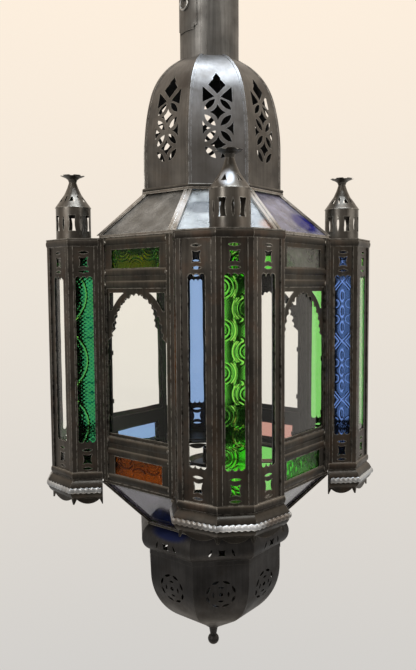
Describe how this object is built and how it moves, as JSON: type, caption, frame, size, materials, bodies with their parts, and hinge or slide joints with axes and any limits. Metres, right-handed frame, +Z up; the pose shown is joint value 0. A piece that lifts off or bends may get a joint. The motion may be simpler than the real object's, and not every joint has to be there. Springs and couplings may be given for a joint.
{
  "type": "ramadan fanous lantern",
  "caption": "Hanging lantern of pierced tinplate and coloured glass: octagonal body with projecting corner towers, ribbed dome, long neck and a hinged glass door.",
  "frame": {"origin": "centre of the hanging eye's bore", "axes": "+Z up, -Y towards the front tower, +X to the viewer's right"},
  "size_m": [0.409, 0.409, 0.8786],
  "materials": {
    "tin": "oxidised tinplate, grey-brown",
    "dark_tin": "dark oxidised tinplate with worn edges",
    "silver": "worn bright tinplate and solder",
    "green": "patterned coloured glass",
    "clear": "clear and lightly tinted glass"
  },
  "bodies": {
    "body": {"hang_eye": "tin", "neck_cap": "tin", "neck_tube": "tin", "strap_left": "tin", "strap_right": "tin", "dome_gore_1": "silver", "dome_gore_2": "tin", "dome_gore_3": "tin", "dome_gore_4": "tin", "dome_gore_5": "tin", "dome_gore_6": "tin", "dome_gore_7": "tin", "dome_gore_8": "tin", "dome_base": "silver", "roof_frame": "silver", "roof_panes": "clear", "turret_drum_front": "tin", "turret_drum_right": "tin", "turret_drum_back": "tin", "turret_drum_left": "tin", "turret_cone_front": "silver", "turret_cone_right": "silver", "turret_cone_back": "silver", "turret_cone_left": "silver", "tower_shell_front": "dark_tin", "tower_shell_right": "dark_tin", "tower_shell_back": "dark_tin", "tower_shell_left": "dark_tin", "tower_panes_front": "green", "tower_panes_right": "green", "tower_panes_back": "green", "tower_panes_left": "green", "tower_skirt_front": "dark_tin", "tower_skirt_right": "dark_tin", "tower_skirt_back": "dark_tin", "tower_skirt_left": "dark_tin", "panel_frame_front_right": "dark_tin", "panel_frame_back_left": "dark_tin", "panel_frame_front_left": "dark_tin", "arch_plate_front_right": "tin", "arch_plate_back_left": "tin", "arch_plate_front_left": "tin", "panel_panes_front_right": "clear", "panel_panes_back_left": "clear", "panel_panes_front_left": "clear", "hinge_plates": "tin", "door_pins": "silver", "belly_frame": "dark_tin", "belly_panes": "clear", "belly_collar": "dark_tin", "belly_dome": "dark_tin", "bottom_finial": "dark_tin", "candle_holder": "tin"},
    "door": {"door_leaf": "dark_tin", "door_arch_plate": "tin", "door_panes": "clear"},
    "turn_button": {"turn_button": "silver"},
    "strap_ring_left": {"strap_ring_left": "silver"},
    "strap_ring_right": {"strap_ring_right": "silver"}
  },
  "joints": [
    {"name": "door_hinge", "type": "hinge", "parent": "body", "child": "door", "pos_m": [0.06142, 0.13594, -0.48585], "axis": [0, 0, 1], "range_deg": [0, 110]},
    {"name": "turn_button_pivot", "type": "hinge", "parent": "body", "child": "turn_button", "pos_m": [0.13643, 0.05768, -0.47185], "axis": [0.7071, 0.7071, 0], "range_deg": [0, 90]},
    {"name": "strap_ring_left_swing", "type": "hinge", "parent": "body", "child": "strap_ring_left", "pos_m": [-0.03268, -0.02042, -0.0579], "axis": [-0.5299, 0.848, 0], "range_deg": [0, 115]},
    {"name": "strap_ring_right_swing", "type": "hinge", "parent": "body", "child": "strap_ring_right", "pos_m": [0.03268, 0.02042, -0.0579], "axis": [0.5299, -0.848, 0], "range_deg": [0, 115]}
  ]
}
